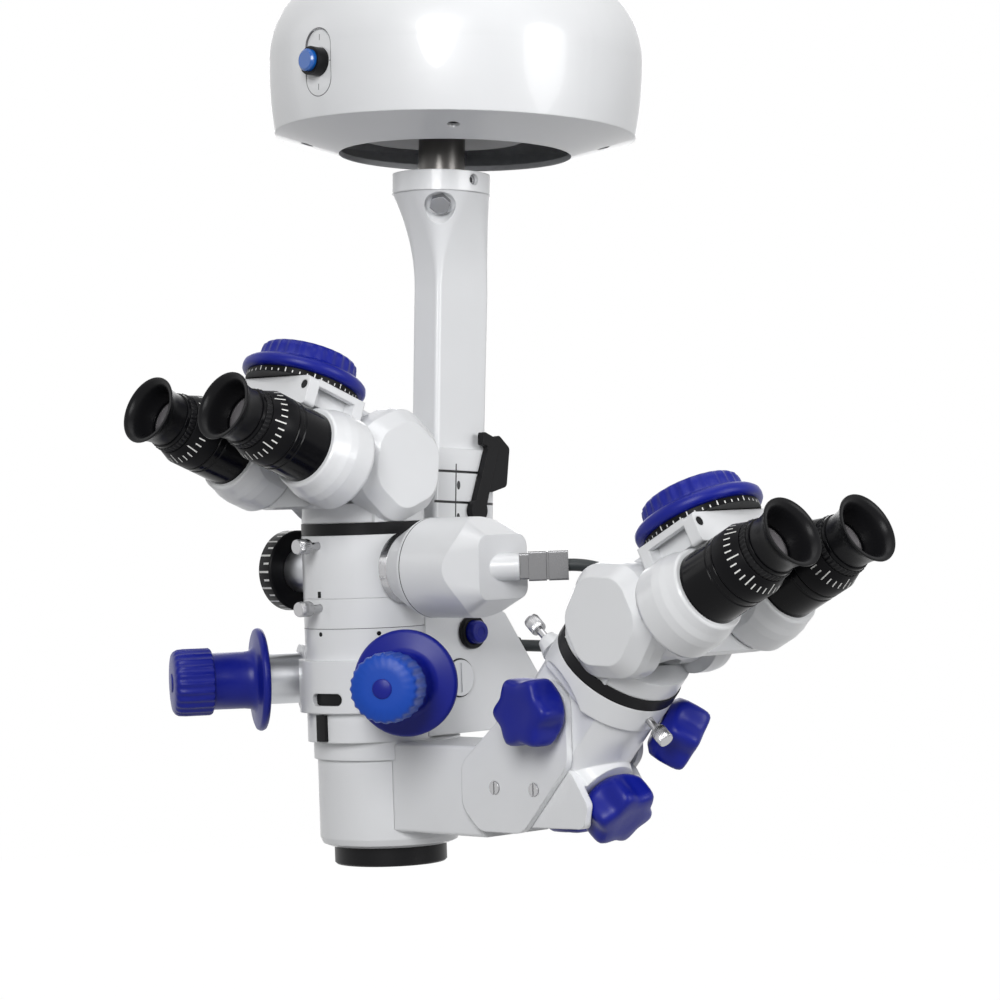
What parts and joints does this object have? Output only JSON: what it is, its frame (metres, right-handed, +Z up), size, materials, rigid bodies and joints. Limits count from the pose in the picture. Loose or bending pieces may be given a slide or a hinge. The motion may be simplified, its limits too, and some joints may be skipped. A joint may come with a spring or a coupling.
{
  "type": "surgical microscope",
  "caption": "Hanging operating microscope head with tilting binocular tube, side assistant tube, camera and cable, on a swivel arm under a round displacement coupling.",
  "frame": {"origin": "centre of the bolting face on top of the displacement coupling", "axes": "X to the surgeon's right, Y away from the surgeon, +Z up, along the axis of the bolting flange"},
  "size_m": [0.4562, 0.3217, 0.5337],
  "materials": {
    "housing_white": "satin",
    "alu": "satin",
    "steel": "satin",
    "chrome": "polished",
    "black_metal": "satin",
    "black_gloss": "gloss",
    "blue": "gloss",
    "grip_blue": "satin",
    "rubber": "matte",
    "glass": "polished",
    "cable_grey": "satin"
  },
  "bodies": {
    "coupling": {"coupling_cover": "housing_white", "coupling_top_plate": "alu", "rails_and_posts": "steel", "button_bezel": "black_metal", "cover_screws": "steel"},
    "cross_stage": {"cross_stage": "alu"},
    "bearing_stage": {"bearing_stage": "alu"},
    "release_button": {"coupling_button": "blue"},
    "arm": {"swivel_shaft": "steel", "carrier_arm": "housing_white", "clamp_bolts": "steel"},
    "focus_carriage": {"focus_carriage": "housing_white"},
    "release_lever": {"release_lever": "black_metal"},
    "head": {"objective_mount": "black_metal", "objective_lens": "glass", "lower_housing": "housing_white", "zoom_body": "housing_white", "upper_body": "housing_white", "rear_housing": "housing_white", "knob_collar": "housing_white", "control_shafts": "chrome", "body_screws": "chrome", "camera_ring": "chrome", "camera_housing": "housing_white", "camera_plug": "chrome", "camera_cable": "cable_grey", "cable_gland": "black_metal", "coobserver_box": "housing_white", "cheek_plates": "housing_white", "main_mount_ring": "black_metal", "main_tube_base": "housing_white"},
    "left_knob": {"left_knob": "grip_blue"},
    "right_knob": {"right_knob": "grip_blue"},
    "scale_dial": {"scale_dial": "black_metal"},
    "depth_knob": {"depth_knob": "blue"},
    "latch_disc": {"latch_disc": "chrome"},
    "assistant_arm": {"tilt_arm": "housing_white", "sleeve_screws": "chrome", "assistant_mount_ring": "black_metal", "assistant_tube_base": "housing_white"},
    "star_knob_upper": {"star_knob_upper": "blue"},
    "star_knob_lower": {"star_knob_lower": "blue"},
    "star_knob_rear": {"star_knob_rear": "blue"},
    "star_knob_sleeve": {"star_knob_sleeve": "blue"},
    "main_eyes": {"main_eye_frame": "housing_white"},
    "main_wheel": {"main_pd_wheel": "blue"},
    "main_left": {"main_ocular_left": "housing_white", "main_barrel_left": "black_gloss"},
    "main_left_cup": {"main_eyecup_left": "rubber"},
    "main_right": {"main_ocular_right": "housing_white", "main_barrel_right": "black_gloss"},
    "main_right_cup": {"main_eyecup_right": "rubber"},
    "assistant_eyes": {"assistant_eye_frame": "housing_white"},
    "assistant_wheel": {"assistant_pd_wheel": "blue"},
    "assistant_left": {"assistant_ocular_left": "housing_white", "assistant_barrel_left": "black_gloss"},
    "assistant_left_cup": {"assistant_eyecup_left": "rubber"},
    "assistant_right": {"assistant_ocular_right": "housing_white", "assistant_barrel_right": "black_gloss"},
    "assistant_right_cup": {"assistant_eyecup_right": "rubber"}
  },
  "joints": [
    {"name": "coupling_x", "type": "slide", "parent": "coupling", "child": "cross_stage", "axis": [1, 0, 0], "range_m": [-0.022, 0.022]},
    {"name": "coupling_y", "type": "slide", "parent": "cross_stage", "child": "bearing_stage", "axis": [0, 1, 0], "range_m": [-0.012, 0.027]},
    {"name": "button_press", "type": "slide", "parent": "coupling", "child": "release_button", "axis": [0, 1, 0], "range_m": [0, 0.002], "stiffness_N_per_m": 600},
    {"name": "arm_swivel", "type": "hinge", "parent": "bearing_stage", "child": "arm", "pos_m": [0, -0.011, -0.1], "axis": [0, 0, 1], "range_deg": [-90, 90]},
    {"name": "focus_travel", "type": "slide", "parent": "arm", "child": "focus_carriage", "axis": [0, 0, 1], "range_m": [-0.025, 0.025]},
    {"name": "lever_swing", "type": "hinge", "parent": "focus_carriage", "child": "release_lever", "pos_m": [0, 0.0055, -0.327], "axis": [1, 0, 0], "range_deg": [-12, 12]},
    {"name": "head_tilt", "type": "hinge", "parent": "focus_carriage", "child": "head", "pos_m": [0, -0.00656, -0.401], "axis": [1, 0, 0], "range_deg": [-4, 12]},
    {"name": "left_knob_turn", "type": "hinge", "parent": "head", "child": "left_knob", "pos_m": [-0.0607, -0.09122, -0.42752], "axis": [-0.5299, -0.8463, -0.0547], "continuous": true},
    {"name": "right_knob_turn", "type": "hinge", "parent": "head", "child": "right_knob", "pos_m": [0.0607, -0.09122, -0.42752], "axis": [0.5299, -0.8463, -0.0547], "continuous": true},
    {"name": "dial_turn", "type": "hinge", "parent": "head", "child": "scale_dial", "pos_m": [-0.06, -0.07011, -0.36352], "axis": [-1, 0, 0], "range_deg": [-150, 150]},
    {"name": "depth_turn", "type": "hinge", "parent": "head", "child": "depth_knob", "pos_m": [0.04, -0.01473, -0.39852], "axis": [1, 0, 0], "range_deg": [-135, 135]},
    {"name": "latch_turn", "type": "hinge", "parent": "head", "child": "latch_disc", "pos_m": [0.034, -0.02323, -0.42512], "axis": [1, 0, 0], "range_deg": [0, 90]},
    {"name": "assistant_arm_tilt", "type": "hinge", "parent": "head", "child": "assistant_arm", "pos_m": [0.131, -0.04756, -0.47981], "axis": [0, 0.9979, 0.0645], "range_deg": [-6, 5]},
    {"name": "star_knob_upper_turn", "type": "hinge", "parent": "head", "child": "star_knob_upper", "pos_m": [0.159, -0.08049, -0.44085], "axis": [0, -0.9979, -0.0645], "continuous": true},
    {"name": "star_knob_lower_turn", "type": "hinge", "parent": "assistant_arm", "child": "star_knob_lower", "pos_m": [0.17174, -0.04722, -0.48497], "axis": [0.7431, 0.0432, -0.6677], "continuous": true},
    {"name": "star_knob_rear_turn", "type": "hinge", "parent": "head", "child": "star_knob_rear", "pos_m": [0.104, -0.01624, -0.49382], "axis": [0, 0.9979, 0.0645], "continuous": true},
    {"name": "star_knob_sleeve_turn", "type": "hinge", "parent": "assistant_arm", "child": "star_knob_sleeve", "pos_m": [0.19217, -0.0265, -0.44678], "axis": [0.5693, 0.6745, -0.47], "continuous": true},
    {"name": "main_tube_tilt", "type": "hinge", "parent": "head", "child": "main_eyes", "pos_m": [0, -0.07594, -0.30427], "axis": [1, 0, 0], "range_deg": [-20, 12]},
    {"name": "main_pupil_wheel", "type": "hinge", "parent": "main_eyes", "child": "main_wheel", "pos_m": [0, -0.12106, -0.26849], "axis": [0, 0.3107, 0.9505], "range_deg": [-90, 90]},
    {"name": "main_left_spread", "type": "slide", "parent": "main_eyes", "child": "main_left", "axis": [-1, 0, 0], "range_m": [-0.005, 0.005]},
    {"name": "main_left_diopter", "type": "hinge", "parent": "main_left", "child": "main_left_cup", "pos_m": [-0.032, -0.17265, -0.28792], "axis": [0, -0.9505, 0.3107], "range_deg": [-120, 120]},
    {"name": "main_right_spread", "type": "slide", "parent": "main_eyes", "child": "main_right", "axis": [1, 0, 0], "range_m": [-0.005, 0.005]},
    {"name": "main_right_diopter", "type": "hinge", "parent": "main_right", "child": "main_right_cup", "pos_m": [0.032, -0.17265, -0.28792], "axis": [0, -0.9505, 0.3107], "range_deg": [-120, 120]},
    {"name": "assistant_tube_tilt", "type": "hinge", "parent": "assistant_arm", "child": "assistant_eyes", "pos_m": [0.21313, -0.05337, -0.38989], "axis": [0, 0.9979, 0.0645], "range_deg": [-35, 12]},
    {"name": "assistant_pupil_wheel", "type": "hinge", "parent": "assistant_eyes", "child": "assistant_wheel", "pos_m": [0.25253, -0.05608, -0.34798], "axis": [-0.4462, -0.0578, 0.8931], "range_deg": [-90, 90]},
    {"name": "assistant_left_spread", "type": "slide", "parent": "assistant_eyes", "child": "assistant_left", "axis": [0, -0.9979, -0.0645], "range_m": [-0.005, 0.005]},
    {"name": "assistant_left_diopter", "type": "hinge", "parent": "assistant_left", "child": "assistant_left_cup", "pos_m": [0.3064, -0.08526, -0.36159], "axis": [0.8949, -0.0288, 0.4453], "range_deg": [-120, 120]},
    {"name": "assistant_right_spread", "type": "slide", "parent": "assistant_eyes", "child": "assistant_right", "axis": [0, 0.9979, 0.0645], "range_m": [-0.005, 0.005]},
    {"name": "assistant_right_diopter", "type": "hinge", "parent": "assistant_right", "child": "assistant_right_cup", "pos_m": [0.3064, -0.02539, -0.35771], "axis": [0.8949, -0.0288, 0.4453], "range_deg": [-120, 120]}
  ],
  "couplings": [
    {"joint": "main_pupil_wheel", "follows": "main_left_spread", "rad_per_m": 314.15},
    {"joint": "main_right_spread", "follows": "main_left_spread", "ratio": 1},
    {"joint": "assistant_pupil_wheel", "follows": "assistant_left_spread", "rad_per_m": 314.15},
    {"joint": "assistant_right_spread", "follows": "assistant_left_spread", "ratio": 1}
  ]
}
